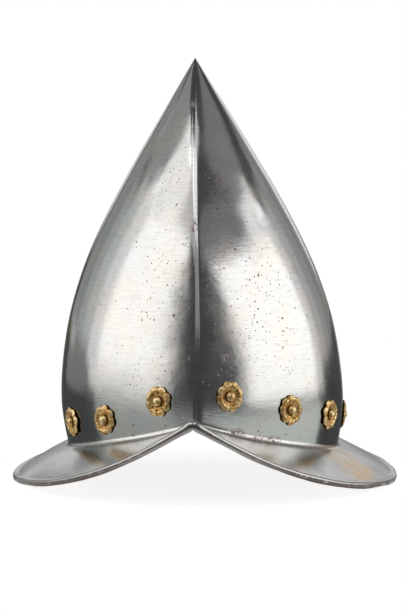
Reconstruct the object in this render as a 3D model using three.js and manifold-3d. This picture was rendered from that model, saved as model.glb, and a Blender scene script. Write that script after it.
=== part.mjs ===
// A peaked morion helmet: one steel plate raised into a keeled skull and a boat-shaped brim with
// a rolled edge, and a row of scalloped brass rosettes held by domed rivets.
// Millimetres, +Z up, the face side towards -Y. The origin is below the middle of the brim,
// in the plane that the lowest stretches of the rolled edge rest on.

import * as THREE from 'three';
import { mergeVertices } from 'three/addons/utils/BufferGeometryUtils.js';
import Module from 'manifold-3d';

// Sizes of the skull
const HEIGHT = 290;
const SKULL_HALF_WIDTH = 97.3;
const SKULL_FRONT = 116;
const SKULL_BACK = 121;
const WALL = 1.3;
const APEX_WALL = 3.6;
const SKULL_OFFSET = -1.3; // the skull sits a little to one side of the brim
const APEX_LEAN = -5.5; // and its apex leans the same way
const KEEL_BOW = 3; // sideways bow of the front keel, most at two thirds of its height
const BOW_SKEW = 0.75; // 1 would put the most at mid height, less puts it higher

// The crease between the skull and the brim
const CREASE_SIDE = 22.5;
const CREASE_END_RISE = 28;
const CREASE_POWER = 1.82; // of the long climb from the sides
const CREASE_HOOK = 0.15; // share of the rise that comes close to the keel
const CREASE_HOOK_POWER = 10;
const CREASE_SOFTNESS = 3.5;

// Sizes of the brim, over its rolled edge
const BRIM_HALF_WIDTH = 133.8;
const BRIM_HALF_LENGTH = 176.9;
const BRIM_POINT_POWER = 2.21; // 2 would be a parabola in plan, more is fuller
const TIP_RISE = 56; // of the roll's middle, from the resting stretches to the two tips
const REST_HALF_LENGTH = 25.5; // of the flat stretch in the middle of each side
const BRIM_CROWN = 1.5;
const ROLL_RADIUS = 2.4;
const ROLL_SWELL = 1.4; // how much more the roll's radius is at the two tips
const SWELL_POWER = 22;
const SWELL_LIFT = 0.6; // share of the swell by which the roll's middle rises there
const ROLL_PROUD = 0.5; // how far the roll stands above the top of the brim

// Sizes of the rosettes and rivets
const LOBES = 8;
const ROSETTE_RADIUS = 10.35;
const SCALLOP_DEPTH = 0.13; // share of the radius
const LOBE_FULLNESS = 0.8; // 1 would be a half sine, less is a fuller lobe
const ROSETTE_SHEET = 0.8;
const DISH_RADIUS = 3.9;
const CROWN_SHARE = 0.72; // share of the rosette's radius
const CROWN_RISE = 1.4;
const RIM_RISE = 0.9;
const RIVET_HEAD_RADIUS = 3.2;
const RIVET_HEAD_HEIGHT = 2.6;
const SHANK_RADIUS = 1.3;
const CLENCH_RADIUS = 2.4;
const CLENCH_END_RADIUS = 1.9;
const CLENCH_HEIGHT = 1;
const CLEARANCE = 0.3;
const HOLE_CLEARANCE = 0.4;
const FLATS_DEPTH = 0.3; // how far the wall's flats may lie inside the true curve
const ROSETTE_LIFT = 22; // of the rosettes' line above the crease
const TURN_STEP = 0.37; // share of a lobe by which each rosette is turned from the last

// How finely the faceted solids are divided
const SIDE_STEPS = 21; // odd, so that one flat stretch lies across the middle of each side
const SKULL_ROWS = 16;
const LOW_ROWS = 5; // of the skull's rows, which are kept inside too
const CREASE_ROWS = 3;
const BRIM_ROWS = 3;
const LOBE_STEPS = 4;
const RIVET_SIDES = 10;
const HOLE_SIDES = 10;

// Level sections of the skull. up is the share of the way from the side crease to the apex,
// wide and long are shares of the half width and of the half lengths.
const SKULL_SECTIONS = [
  { up: 0.0, wide: 0.96, long: 1.0 },
  { up: 0.08, wide: 0.999, long: 1.0 },
  { up: 0.2, wide: 0.995, long: 0.985 },
  { up: 0.35, wide: 0.924, long: 0.93 },
  { up: 0.5, wide: 0.78, long: 0.83 },
  { up: 0.65, wide: 0.574, long: 0.668 },
  { up: 0.8, wide: 0.336, long: 0.44 },
  { up: 0.92, wide: 0.136, long: 0.195 },
  { up: 1.0, wide: 0.0, long: 0.0 },
];

// Rise of the brim's edge. along is the share of the way from the resting stretch to the tip,
// rise is a share of the tip's rise.
const EDGE_RISES = [
  { along: 0.0, rise: 0.0 },
  { along: 0.2, rise: 0.037 },
  { along: 0.425, rise: 0.11 },
  { along: 0.655, rise: 0.3 },
  { along: 0.83, rise: 0.58 },
  { along: 1.0, rise: 1.0 },
];

// Places of the rosettes. side is 1 on +X and -1 on -X, along is a share of the skull's half
// length, from -1 at the front keel to 1 at the back keel, lift is a share of the rosette line's.
const ROSETTE_PLACES = [
  { side: -1, along: -0.864, lift: 1.03 },
  { side: -1, along: -0.604, lift: 0.73 },
  { side: -1, along: -0.324, lift: 0.77 },
  { side: -1, along: 0.2, lift: 0.9 },
  { side: -1, along: 0.45, lift: 0.95 },
  { side: -1, along: 0.68, lift: 1.0 },
  { side: -1, along: 0.885, lift: 1.1 },
  { side: 1, along: 0.885, lift: 1.05 },
  { side: 1, along: 0.665, lift: 1.0 },
  { side: 1, along: 0.4, lift: 0.95 },
  { side: 1, along: 0.075, lift: 0.92 },
  { side: 1, along: -0.321, lift: 1.04 },
  { side: 1, along: -0.612, lift: 1.06 },
  { side: 1, along: -0.885, lift: 1.15 },
];

const wasm = await Module();
wasm.setup();

// A natural cubic spline through the rows of a table.
function splineThrough(rows, atKey, valueKey) {
  const at = rows.map((row) => row[atKey]);
  const value = rows.map((row) => row[valueKey]);
  const last = rows.length - 1;
  const bend = new Array(rows.length).fill(0);
  const sweep = new Array(rows.length).fill(0);
  for (let i = 1; i < last; i++) {
    const before = at[i] - at[i - 1];
    const after = at[i + 1] - at[i];
    const slopeChange = (value[i + 1] - value[i]) / after - (value[i] - value[i - 1]) / before;
    const pivot = 2 * (before + after) - before * sweep[i - 1];
    sweep[i] = after / pivot;
    bend[i] = (6 * slopeChange - before * bend[i - 1]) / pivot;
  }
  for (let i = last - 1; i > 0; i--) {
    bend[i] -= sweep[i] * bend[i + 1];
  }
  return (x) => {
    let i = 0;
    while (i < last - 1 && x > at[i + 1]) i++;
    const span = at[i + 1] - at[i];
    const a = (at[i + 1] - x) / span;
    const b = (x - at[i]) / span;
    const curve = ((a ** 3 - a) * bend[i] + (b ** 3 - b) * bend[i + 1]) * span * span / 6;
    return a * value[i] + b * value[i + 1] + curve;
  };
}

const wideAt = splineThrough(SKULL_SECTIONS, 'up', 'wide');
const longAt = splineThrough(SKULL_SECTIONS, 'up', 'long');
const riseAt = splineThrough(EDGE_RISES, 'along', 'rise');

// The skull's outside. A level section is two parabolas that meet in the front and back keels:
// along runs from -1 at the front keel to 1 at the back keel, on one side of the skull.
function skullPoint(along, side, z) {
  const up = (z - CREASE_SIDE) / (HEIGHT - CREASE_SIDE);
  const halfLength = (along < 0 ? SKULL_FRONT : SKULL_BACK) * longAt(up);
  const halfWidth = SKULL_HALF_WIDTH * wideAt(up) * (1 - along * along);
  const bow = along < 0 ? KEEL_BOW * along * along * Math.sin(Math.PI * up ** BOW_SKEW) ** 2 : 0;
  const middle = SKULL_OFFSET + APEX_LEAN * up + bow;
  return new THREE.Vector3(middle + side * halfWidth, halfLength * along, z);
}

// The crease climbs from the sides to both ends, most steeply where it meets the keel.
function creaseHeight(along) {
  const reach = Math.abs(along);
  const climb = (1 - CREASE_HOOK) * reach ** CREASE_POWER;
  const hook = CREASE_HOOK * reach ** CREASE_HOOK_POWER;
  return CREASE_SIDE + CREASE_END_RISE * (climb + hook);
}

function skullNormal(along, side, z) {
  const step = 0.002;
  const above = skullPoint(along, side, z + 1).sub(skullPoint(along, side, z - 1));
  const onward = skullPoint(along + step, side, z).sub(skullPoint(along - step, side, z));
  return onward.cross(above).multiplyScalar(side).normalize();
}

function rollSwell(along) {
  return ROLL_SWELL * Math.abs(along) ** SWELL_POWER;
}

// The middle of the rolled edge, and the level direction across it, which is mitred at the tips.
function rollMiddle(along, side) {
  const reach = Math.abs(along);
  const rest = REST_HALF_LENGTH / BRIM_HALF_LENGTH;
  const outward = Math.max(0, (reach - rest) / (1 - rest));
  const x = side * (BRIM_HALF_WIDTH - ROLL_RADIUS) * (1 - reach ** BRIM_POINT_POWER);
  const y = (BRIM_HALF_LENGTH - ROLL_RADIUS) * along - Math.sign(along) * rollSwell(along);
  const z = ROLL_RADIUS + TIP_RISE * riseAt(outward) + SWELL_LIFT * rollSwell(along);
  return new THREE.Vector3(x, y, z);
}

function acrossRoll(along, side) {
  const reach = Math.abs(along);
  const turn = BRIM_HALF_WIDTH * BRIM_POINT_POWER * reach ** (BRIM_POINT_POWER - 1);
  const across = new THREE.Vector3(side * BRIM_HALF_LENGTH, Math.sign(along) * turn, 0).normalize();
  if (reach === 1) return new THREE.Vector3(0, Math.sign(along) / Math.abs(across.y), 0);
  return across;
}

// The columns run round the helmet, anticlockwise from above, from the front keel.
function aroundColumns() {
  const columns = [];
  for (let k = 0; k < SIDE_STEPS; k++) columns.push({ along: -1 + 2 * k / SIDE_STEPS, side: 1 });
  for (let k = 0; k < SIDE_STEPS; k++) columns.push({ along: 1 - 2 * k / SIDE_STEPS, side: -1 });
  return columns;
}

const COLUMNS = aroundColumns();

function ringOf(pointAt) {
  return COLUMNS.map(({ along, side }) => pointAt(along, side));
}

// Where the top of the brim runs into the roll, on a roll with eight flats.
function brimMeetsRoll(along, side) {
  const radius = ROLL_RADIUS + rollSwell(along);
  const flatCorner = radius * Math.tan(Math.PI / 8);
  const inward = flatCorner + ROLL_PROUD;
  const point = rollMiddle(along, side).addScaledVector(acrossRoll(along, side), -inward);
  point.z += radius - ROLL_PROUD;
  return point;
}

// The brim's top, from 0 at the crease to 1 at the roll.
function brimPoint(along, side, outward) {
  const root = skullPoint(along, side, creaseHeight(along));
  const point = root.lerp(brimMeetsRoll(along, side), outward);
  point.z += BRIM_CROWN * 4 * outward * (1 - outward);
  return point;
}

// The rings of the outside, from just below the apex to the roll.
function outsideRings() {
  const rings = [];
  for (let row = SKULL_ROWS - 1; row >= 0; row--) {
    rings.push(ringOf((along, side) => {
      const foot = creaseHeight(along) + CREASE_SOFTNESS;
      return skullPoint(along, side, foot + (HEIGHT - foot) * row / SKULL_ROWS);
    }));
  }
  for (let row = 1; row <= CREASE_ROWS; row++) {
    rings.push(ringOf((along, side) => creasePoint(along, side, row / CREASE_ROWS)));
  }
  for (let row = 1; row <= BRIM_ROWS; row++) {
    rings.push(ringOf((along, side) => {
      const start = brimStart(along, side);
      return brimPoint(along, side, start + (1 - start) * row / BRIM_ROWS);
    }));
  }
  return rings;
}

// How far out the crease's soft bend ends, as a share of the brim's width.
function brimStart(along, side) {
  const root = skullPoint(along, side, creaseHeight(along));
  return CREASE_SOFTNESS / root.distanceTo(brimMeetsRoll(along, side));
}

// The soft bend of the crease, a curve from the wall to the brim that is drawn to the corner.
function creasePoint(along, side, share) {
  const height = creaseHeight(along);
  const corner = skullPoint(along, side, height);
  const wallEnd = skullPoint(along, side, height + CREASE_SOFTNESS);
  const brimEnd = brimPoint(along, side, brimStart(along, side));
  const bend = new THREE.QuadraticBezierCurve3(wallEnd, corner, brimEnd);
  return bend.getPoint(share);
}

// The seven corners of the roll that lie outside the plate, from its top round to its inside.
function rollRings() {
  const rings = [];
  for (let corner = 0; corner < 7; corner++) {
    const angle = Math.PI * (5 / 8 - corner / 4);
    rings.push(ringOf((along, side) => {
      const radius = (ROLL_RADIUS + rollSwell(along)) / Math.cos(Math.PI / 8);
      const point = rollMiddle(along, side);
      point.addScaledVector(acrossRoll(along, side), radius * Math.cos(angle));
      point.z += radius * Math.sin(angle);
      return point;
    }));
  }
  return rings;
}

// The inside: each point of the outside moved in until every face beside it has moved by the wall.
function insideRings(outside) {
  return outside.map((ring, row) => ring.map((point, column) => {
    const normals = faceNormalsRound(outside, row, column);
    const mean = normals.reduce((sum, n) => sum.add(n), new THREE.Vector3()).normalize();
    const share = normals.reduce((sum, n) => sum + n.dot(mean), 0) / normals.length;
    return point.clone().addScaledVector(mean, -WALL / share);
  }));
}

// High up, where the skull is nearly straight, every other ring is enough inside, and the one
// beside the apex is left out to make room for the apex's own wall.
function isKeptInside(row) {
  return row >= SKULL_ROWS - LOW_ROWS || (row > 0 && row % 2 === 0);
}

function faceNormalsRound(rings, row, column) {
  const count = COLUMNS.length;
  const here = rings[row][column];
  const before = rings[row][(column + count - 1) % count];
  const after = rings[row][(column + 1) % count];
  const neighbours = [];
  if (row > 0) neighbours.push([rings[row - 1][column], 1]);
  if (row < rings.length - 1) neighbours.push([rings[row + 1][column], -1]);
  return neighbours.flatMap(([point, sign]) => {
    const climb = point.clone().sub(here).multiplyScalar(sign);
    return [
      after.clone().sub(here).cross(climb).normalize(),
      here.clone().sub(before).cross(climb).normalize(),
    ];
  });
}

// A closed skin over rings that run from the outside to the inside. With two end points it closes
// on them, and without them the last ring joins the first.
function skinGeometry(rings, ends) {
  const count = rings[0].length;
  const points = rings.flat();
  const triangles = [];
  const joins = ends ? rings.length - 1 : rings.length;
  for (let row = 0; row < joins; row++) {
    const upper = row * count;
    const lower = ((row + 1) % rings.length) * count;
    for (let k = 0; k < count; k++) {
      const next = (k + 1) % count;
      triangles.push(upper + k, lower + k, lower + next);
      triangles.push(upper + k, lower + next, upper + next);
    }
  }
  if (ends) {
    const first = points.push(ends[0]) - 1;
    const last = points.push(ends[1]) - 1;
    const lowest = (rings.length - 1) * count;
    for (let k = 0; k < count; k++) {
      const next = (k + 1) % count;
      triangles.push(first, k, next);
      triangles.push(last, lowest + next, lowest + k);
    }
  }
  const geometry = new THREE.BufferGeometry().setFromPoints(points);
  geometry.setIndex(triangles);
  return geometry;
}

function solidOf(geometry) {
  const bare = geometry.clone();
  bare.deleteAttribute('normal');
  bare.deleteAttribute('uv');
  const merged = mergeVertices(bare, 1e-4);
  return new wasm.Manifold(new wasm.Mesh({
    numProp: 3,
    vertProperties: new Float32Array(merged.attributes.position.array),
    triVerts: new Uint32Array(merged.index.array),
  }));
}

function geometryOf(solid) {
  const mesh = solid.getMesh();
  const geometry = new THREE.BufferGeometry();
  geometry.setAttribute('position', new THREE.BufferAttribute(mesh.vertProperties, 3));
  geometry.setIndex(new THREE.BufferAttribute(mesh.triVerts, 1));
  return geometry;
}

// The frame of one rosette: its origin on the skull's outside, +Z out of the wall, +Y up it.
function seatMatrix({ side, along, lift }) {
  const z = creaseHeight(along) + ROSETTE_LIFT * lift;
  const out = skullNormal(along, side, z);
  const across = new THREE.Vector3(0, 0, 1).cross(out).normalize();
  const up = out.clone().cross(across);
  const matrix = new THREE.Matrix4().makeBasis(across, up, out);
  return matrix.setPosition(skullPoint(along, side, z));
}

// One plate of steel: the outside, round the roll and back along the inside, pierced for rivets.
// Each cutter reaches a few walls deep on both sides, because the wall slopes across it.
function skullAndBrimGeometry() {
  const cutterLength = 8 * WALL;
  const outside = outsideRings();
  const inside = insideRings(outside).filter((ring, row) => isKeptInside(row)).reverse();
  const tip = SKULL_OFFSET + APEX_LEAN;
  const ends = [new THREE.Vector3(tip, 0, HEIGHT), new THREE.Vector3(tip, 0, HEIGHT - APEX_WALL)];
  let plate = solidOf(skinGeometry([...outside, ...rollRings(), ...inside], ends));
  for (const place of ROSETTE_PLACES) {
    const cutter = new THREE.CylinderGeometry(holeRadius(), holeRadius(), cutterLength, HOLE_SIDES);
    cutter.rotateX(Math.PI / 2).applyMatrix4(seatMatrix(place));
    plate = plate.subtract(solidOf(cutter));
  }
  return geometryOf(plate);
}

// The corner radius of a hole whose flats clear the shank.
function holeRadius() {
  return (SHANK_RADIUS + HOLE_CLEARANCE) / Math.cos(Math.PI / HOLE_SIDES);
}

// A stamped washer with a dished middle, a raised crown and a scalloped rim.
function rosetteGeometry() {
  const steps = LOBES * LOBE_STEPS;
  const ring = (radiusAt, z) => Array.from({ length: steps }, (_, k) => {
    const angle = 2 * Math.PI * k / steps;
    const radius = radiusAt(angle);
    return new THREE.Vector3(radius * Math.cos(angle), radius * Math.sin(angle), z);
  });
  const scallop = (angle) => {
    const lobe = Math.abs(Math.sin(LOBES * angle / 2)) ** LOBE_FULLNESS;
    return ROSETTE_RADIUS * (1 - SCALLOP_DEPTH * (1 - lobe));
  };
  const seat = CLEARANCE;
  const top = seat + ROSETTE_SHEET;
  return skinGeometry([
    ring(holeRadius, top),
    ring(() => DISH_RADIUS, top),
    ring((angle) => CROWN_SHARE * scallop(angle), top + CROWN_RISE),
    ring(scallop, top + RIM_RISE),
    ring(scallop, seat + RIM_RISE),
    ring(holeRadius, seat),
  ]);
}

// A domed rivet: its head over the dish, its shank through the wall, its clenched end inside.
function rivetGeometry() {
  const headFoot = 2 * CLEARANCE + ROSETTE_SHEET;
  const wallInside = -WALL - FLATS_DEPTH - CLEARANCE;
  const profile = [new THREE.Vector2(0, wallInside - CLENCH_HEIGHT)];
  profile.push(new THREE.Vector2(CLENCH_END_RADIUS, wallInside - CLENCH_HEIGHT));
  profile.push(new THREE.Vector2(CLENCH_RADIUS, wallInside));
  profile.push(new THREE.Vector2(SHANK_RADIUS, wallInside));
  profile.push(new THREE.Vector2(SHANK_RADIUS, headFoot));
  for (const angle of [0, Math.PI / 4, Math.PI / 2]) {
    const radius = RIVET_HEAD_RADIUS * Math.max(0, Math.cos(angle));
    profile.push(new THREE.Vector2(radius, headFoot + RIVET_HEAD_HEIGHT * Math.sin(angle)));
  }
  profile[profile.length - 1].x = 0;
  return new THREE.LatheGeometry(profile, RIVET_SIDES).rotateX(Math.PI / 2);
}

function steel() {
  return new THREE.MeshStandardMaterial({ color: 0x9a9c9a, roughness: 0.32, metalness: 1 });
}

function brass() {
  return new THREE.MeshStandardMaterial({ color: 0xb08c4c, roughness: 0.38, metalness: 1 });
}

function placed(name, geometry, material, matrix) {
  const mesh = new THREE.Mesh(geometry, material);
  mesh.name = name;
  if (matrix) matrix.decompose(mesh.position, mesh.quaternion, mesh.scale);
  return mesh;
}

const helmet = new THREE.Group();
helmet.add(placed('skull_and_brim', skullAndBrimGeometry(), steel()));

ROSETTE_PLACES.forEach((place, index) => {
  const number = String(index + 1).padStart(2, '0');
  const turn = new THREE.Matrix4().makeRotationZ(2 * Math.PI * TURN_STEP * index / LOBES);
  const seat = seatMatrix(place);
  helmet.add(placed(`rosette_${number}`, rosetteGeometry(), brass(), seat.clone().multiply(turn)));
  helmet.add(placed(`rivet_${number}`, rivetGeometry(), brass(), seat));
});

export default helmet;
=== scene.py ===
import math

import bpy
import numpy as np
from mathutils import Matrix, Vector


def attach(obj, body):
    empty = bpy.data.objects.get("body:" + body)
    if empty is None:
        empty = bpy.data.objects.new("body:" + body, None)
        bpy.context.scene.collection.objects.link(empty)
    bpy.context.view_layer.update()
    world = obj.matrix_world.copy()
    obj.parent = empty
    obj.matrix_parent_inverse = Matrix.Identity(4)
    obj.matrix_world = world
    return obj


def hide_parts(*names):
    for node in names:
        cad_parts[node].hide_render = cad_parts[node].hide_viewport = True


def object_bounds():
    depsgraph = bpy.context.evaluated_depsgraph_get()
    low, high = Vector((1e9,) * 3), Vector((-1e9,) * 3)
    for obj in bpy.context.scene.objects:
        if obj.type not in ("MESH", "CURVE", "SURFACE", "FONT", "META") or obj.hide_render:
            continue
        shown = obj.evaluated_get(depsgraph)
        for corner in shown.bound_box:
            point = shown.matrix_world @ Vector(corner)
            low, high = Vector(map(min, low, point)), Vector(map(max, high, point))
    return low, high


# The looks of a peaked morion: one steel plate, fourteen brass rosettes and their rivets
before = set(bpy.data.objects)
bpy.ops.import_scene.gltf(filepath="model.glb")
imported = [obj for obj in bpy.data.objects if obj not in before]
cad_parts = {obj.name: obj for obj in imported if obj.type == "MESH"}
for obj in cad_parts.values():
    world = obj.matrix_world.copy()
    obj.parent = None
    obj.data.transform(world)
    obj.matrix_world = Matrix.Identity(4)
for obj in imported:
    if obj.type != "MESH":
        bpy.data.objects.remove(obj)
CAD_LOW, CAD_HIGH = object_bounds()

# Sizes of the helmet, in metres, as shares of the frame's box
HEIGHT = CAD_HIGH[2] - CAD_LOW[2]
HALF_WIDTH = (CAD_HIGH[0] - CAD_LOW[0]) / 2
HALF_LENGTH = (CAD_HIGH[1] - CAD_LOW[1]) / 2
MM = HEIGHT / 290  # a millimetre of the helmet, which follows its height
SKULL_HALF_WIDTH = 0.728 * HALF_WIDTH
SKULL_FRONT = 0.6534 * HALF_LENGTH
SKULL_BACK = 0.6816 * HALF_LENGTH
SKULL_OFFSET = -0.0097 * HALF_WIDTH
APEX_LEAN = -0.0411 * HALF_WIDTH
KEEL_BOW = 0.0224 * HALF_WIDTH  # sideways bow of the front keel
BOW_SKEW = 0.75  # 1 would put the most bow at mid height, less puts it higher
CREASE_SIDE = 0.0776 * HEIGHT
CREASE_END_RISE = 0.09655 * HEIGHT
CREASE_POWER = 1.82
CREASE_HOOK = 0.15
CREASE_HOOK_POWER = 10
CREASE_SOFTNESS = 3.5 * MM
WALL = 1.3 * MM
APEX_WALL = 3.6 * MM
TIP_RISE = 0.1931 * HEIGHT
REST_SHARE = 0.1442  # share of each side, from its middle, that lies level
BRIM_POINT_POWER = 2.21  # 2 would be a parabola in plan, more is fuller
BRIM_CROWN = 1.5 * MM
BRIM_LENGTH_SHARE = 0.99646  # the CAD's box is a little longer than the brim, from the mitred tips
ROLL_RADIUS = 2.4 * MM
ROLL_SWELL = 1.4 * MM  # how much more the roll's radius is at the two tips
SWELL_POWER = 22
SWELL_LIFT = 0.6  # share of the swell by which the roll's middle rises there
ROLL_THINNING = 0.05
BRIM_END_INSET = 0.72  # share of the roll's radius, from its middle to where the brim's top ends
ROLL_PROUD = 0.55 * MM
ROLL_START = 122  # degrees round the roll, where it leaves the top of the brim
ROLL_END = -190
TIP_NOTCH = 0.22  # share of the roll's radius by which its two arms sink where they meet
TIP_NOTCH_LENGTH = 0.004  # as a share of the half length
LEAST_APART = 0.02  # share of their distance from the middle plane that points of the tips keep
KEEL_ROUNDING = 1.6 * MM
APEX_ROUNDING = 0.5 * MM

# Level sections of the skull: up from the crease to the apex, shares of the half width and length
SKULL_SECTIONS = [
    {"up": 0.0, "wide": 0.96, "long": 1.0},
    {"up": 0.08, "wide": 0.999, "long": 1.0},
    {"up": 0.2, "wide": 0.995, "long": 0.985},
    {"up": 0.35, "wide": 0.924, "long": 0.93},
    {"up": 0.5, "wide": 0.78, "long": 0.83},
    {"up": 0.65, "wide": 0.574, "long": 0.668},
    {"up": 0.8, "wide": 0.336, "long": 0.44},
    {"up": 0.92, "wide": 0.136, "long": 0.195},
    {"up": 1.0, "wide": 0.0, "long": 0.0},
]

# Rise of the rolled edge, from the resting stretch to the tip
EDGE_RISES = [
    {"along": 0.0, "rise": 0.0},
    {"along": 0.2, "rise": 0.037},
    {"along": 0.425, "rise": 0.11},
    {"along": 0.655, "rise": 0.3},
    {"along": 0.83, "rise": 0.58},
    {"along": 1.0, "rise": 1.0},
]


def spline_through(rows, at_key, value_key):
    """A natural cubic spline through the rows of a table, for arrays."""
    at = np.array([row[at_key] for row in rows])
    value = np.array([row[value_key] for row in rows])
    span = np.diff(at)
    system = np.eye(len(at))
    right = np.zeros(len(at))
    for i in range(1, len(at) - 1):
        system[i, i - 1:i + 2] = span[i - 1], 2 * (span[i - 1] + span[i]), span[i]
        right[i] = 6 * ((value[i + 1] - value[i]) / span[i] - (value[i] - value[i - 1]) / span[i - 1])
    bend = np.linalg.solve(system, right)

    def curve(x):
        i = np.clip(np.searchsorted(at, x) - 1, 0, len(at) - 2)
        a = (at[i + 1] - x) / span[i]
        b = 1 - a
        lift = ((a ** 3 - a) * bend[i] + (b ** 3 - b) * bend[i + 1]) * span[i] ** 2 / 6
        return a * value[i] + b * value[i + 1] + lift

    return curve


wide_at = spline_through(SKULL_SECTIONS, "up", "wide")
long_at = spline_through(SKULL_SECTIONS, "up", "long")
rise_at = spline_through(EDGE_RISES, "along", "rise")


def skull_points(along, side, z):
    """The skull's outside, with its keels and its apex a little rounded."""
    up = (z - CREASE_SIDE) / (HEIGHT - CREASE_SIDE)
    below = (1 - up) * (HEIGHT - CREASE_SIDE)
    eased = np.clip(1 - np.sqrt(below ** 2 + APEX_ROUNDING ** 2) / (HEIGHT - CREASE_SIDE), 0, 1)
    half_width = np.maximum(SKULL_HALF_WIDTH * wide_at(up), 1e-9)
    half_length = np.where(along < 0, SKULL_FRONT, SKULL_BACK) * long_at(up)
    across = half_width * (1 - along ** 2)
    rounding = KEEL_ROUNDING * half_width / (half_width + 2 * KEEL_ROUNDING)
    pull = (np.sqrt(across ** 2 + rounding ** 2) - across) / half_width
    reach = along * np.sqrt(np.clip(1 - pull, 0, 1))
    bow = np.where(along < 0, KEEL_BOW * along ** 2 * np.sin(np.pi * np.clip(up, 0, 1) ** BOW_SKEW) ** 2, 0)
    x = SKULL_OFFSET + APEX_LEAN * up + bow + side * across
    return np.stack([x, half_length * reach, CREASE_SIDE + eased * (HEIGHT - CREASE_SIDE) + 0 * x], -1)


def crease_height(along):
    """Height of the corner between the skull and the brim."""
    reach = np.abs(along)
    climb = (1 - CREASE_HOOK) * reach ** CREASE_POWER + CREASE_HOOK * reach ** CREASE_HOOK_POWER
    return CREASE_SIDE + CREASE_END_RISE * climb


def roll_swell(along):
    """How much thicker the roll is than in the middle of its sides."""
    return ROLL_SWELL * np.abs(along) ** SWELL_POWER


def roll_middle(along, side):
    """The middle line of the rolled edge."""
    reach = np.abs(along)
    outward = np.clip((reach - REST_SHARE) / (1 - REST_SHARE), 0, 1)
    x = side * (HALF_WIDTH - ROLL_RADIUS) * (1 - reach ** BRIM_POINT_POWER)
    y = (BRIM_LENGTH_SHARE * HALF_LENGTH - ROLL_RADIUS) * along - np.sign(along) * roll_swell(along)
    z = ROLL_RADIUS + TIP_RISE * rise_at(outward) + SWELL_LIFT * roll_swell(along)
    return np.stack([x, y, z], -1)


def across_roll(along, side):
    """The level direction across the roll, mitred at the two tips."""
    reach = np.abs(along)
    turn = HALF_WIDTH * BRIM_POINT_POWER * reach ** (BRIM_POINT_POWER - 1)
    across = np.stack([side * HALF_LENGTH + 0 * turn, np.sign(along) * turn, 0 * turn], -1)
    across /= np.linalg.norm(across, axis=-1, keepdims=True)
    tip = reach > 1 - 1e-9
    across[tip, 1] = 1 / across[tip, 1]
    across[tip, 0] = 0
    return across


# How finely the steel is divided
SIDE_COLUMNS = 74
KEEL_STEP = 0.0022  # the first column's distance from the keel, as a share of the half length
SKULL_ROWS = 130
CREASE_ROWS = 10
BRIM_ROWS = 34
ROLL_ROWS = 20
INSIDE_SKIP = 2  # the inside has one row for so many of the outside's
APEX_SKIP = 3  # and none for the outside's first rows
ROW_CROWDING = 0.35  # how much closer the skull's rows lie at the apex and the foot

# How much of the plate's unevenness the outside takes
STILL_ROWS = 6  # rows below the apex over which it sets in
FADE_ROWS = 4  # rows of the brim, before the roll, over which it begins to fade
ROLL_SHARE = 0.3
KEEL_SHARE = 0.35
KEEL_FADE = 0.05  # share of the half length, from the keel, over which it returns


def side_shares():
    """Shares from -1 to 1 along one side, closest together at the two keels."""
    half = SIDE_COLUMNS // 2
    growth = np.linspace(0, 1, half + 1)
    from_keel = KEEL_STEP * half * growth + (1 - KEEL_STEP * half) * growth ** 2
    front = -1 + from_keel
    return np.concatenate([front, -front[::-1][1:]])


def around():
    """The columns all the way round, from the front keel along +X to the back and home along -X."""
    shares = side_shares()
    along = np.concatenate([shares[:-1], shares[::-1][:-1]])
    side = np.concatenate([np.ones(len(shares) - 1), -np.ones(len(shares) - 1)])
    return along, side


ALONG, SIDE = around()


# Waves of unevenness. height is in metres for the plate, and a share of the radius for the roll
PLATE_WAVES = [
    {"height": 0.045 * MM, "length": 46 * MM, "seed": 11},
    {"height": 0.014 * MM, "length": 17 * MM, "seed": 12},
]
ROLL_WAVES = [
    {"height": 0.05, "length": 34 * MM, "seed": 5},
    {"height": 0.03, "length": 13 * MM, "seed": 6},
]
WAVES_EACH = 18


def lumps(points, rows):
    """The slow unevenness of hammered work, as sums of waves in chance directions."""
    total = np.zeros(points.shape[:-1])
    for row in rows:
        chance = np.random.default_rng(row["seed"])
        part = np.zeros(points.shape[:-1])
        for _ in range(WAVES_EACH):
            direction = chance.normal(size=3)
            length = row["length"] * chance.uniform(0.7, 1.8)
            direction *= 2 * np.pi / (length * np.linalg.norm(direction))
            part += np.sin(points @ direction + chance.uniform(0, 2 * np.pi))
        total += row["height"] * part / math.sqrt(WAVES_EACH / 2)
    return total


def mitred(point):
    """The two arms of the brim stop where they meet, in the middle plane of each tip."""
    front, back = (abs(point[ALONG == end][0, 1]) for end in (-1, 1))
    limit = np.where(ALONG < 0, front, back)
    least = LEAST_APART * np.abs(roll_middle(ALONG, SIDE)[:, 0])
    point[:, 0] = SIDE * np.maximum(SIDE * point[:, 0], least)
    point[:, 1] = np.clip(point[:, 1], -limit, limit)
    return point


def brim_end():
    """Where the top of the brim runs into the roll."""
    middle = roll_middle(ALONG, SIDE)
    radius = ROLL_RADIUS + roll_swell(ALONG)
    point = middle - across_roll(ALONG, SIDE) * (BRIM_END_INSET * radius)[:, None]
    point[:, 2] += radius - ROLL_PROUD
    return mitred(point)


def brim_points(outward):
    """A row of points on the brim, a share of the way from the crease out to the roll."""
    root = skull_points(ALONG, SIDE, crease_height(ALONG))
    point = root + (brim_end() - root) * outward[..., None]
    point[:, 2] += BRIM_CROWN * 4 * outward * (1 - outward)
    return point


def roll_radius():
    """The roll is a little thicker and thinner along its way, as it was hammered round."""
    middle = roll_middle(ALONG, SIDE)
    uneven = 1 + lumps(middle, ROLL_WAVES) - ROLL_THINNING
    notch = 1 - TIP_NOTCH * np.exp(-((1 - np.abs(ALONG)) / TIP_NOTCH_LENGTH) ** 2)
    return (ROLL_RADIUS + roll_swell(ALONG)) * uneven * notch


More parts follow.
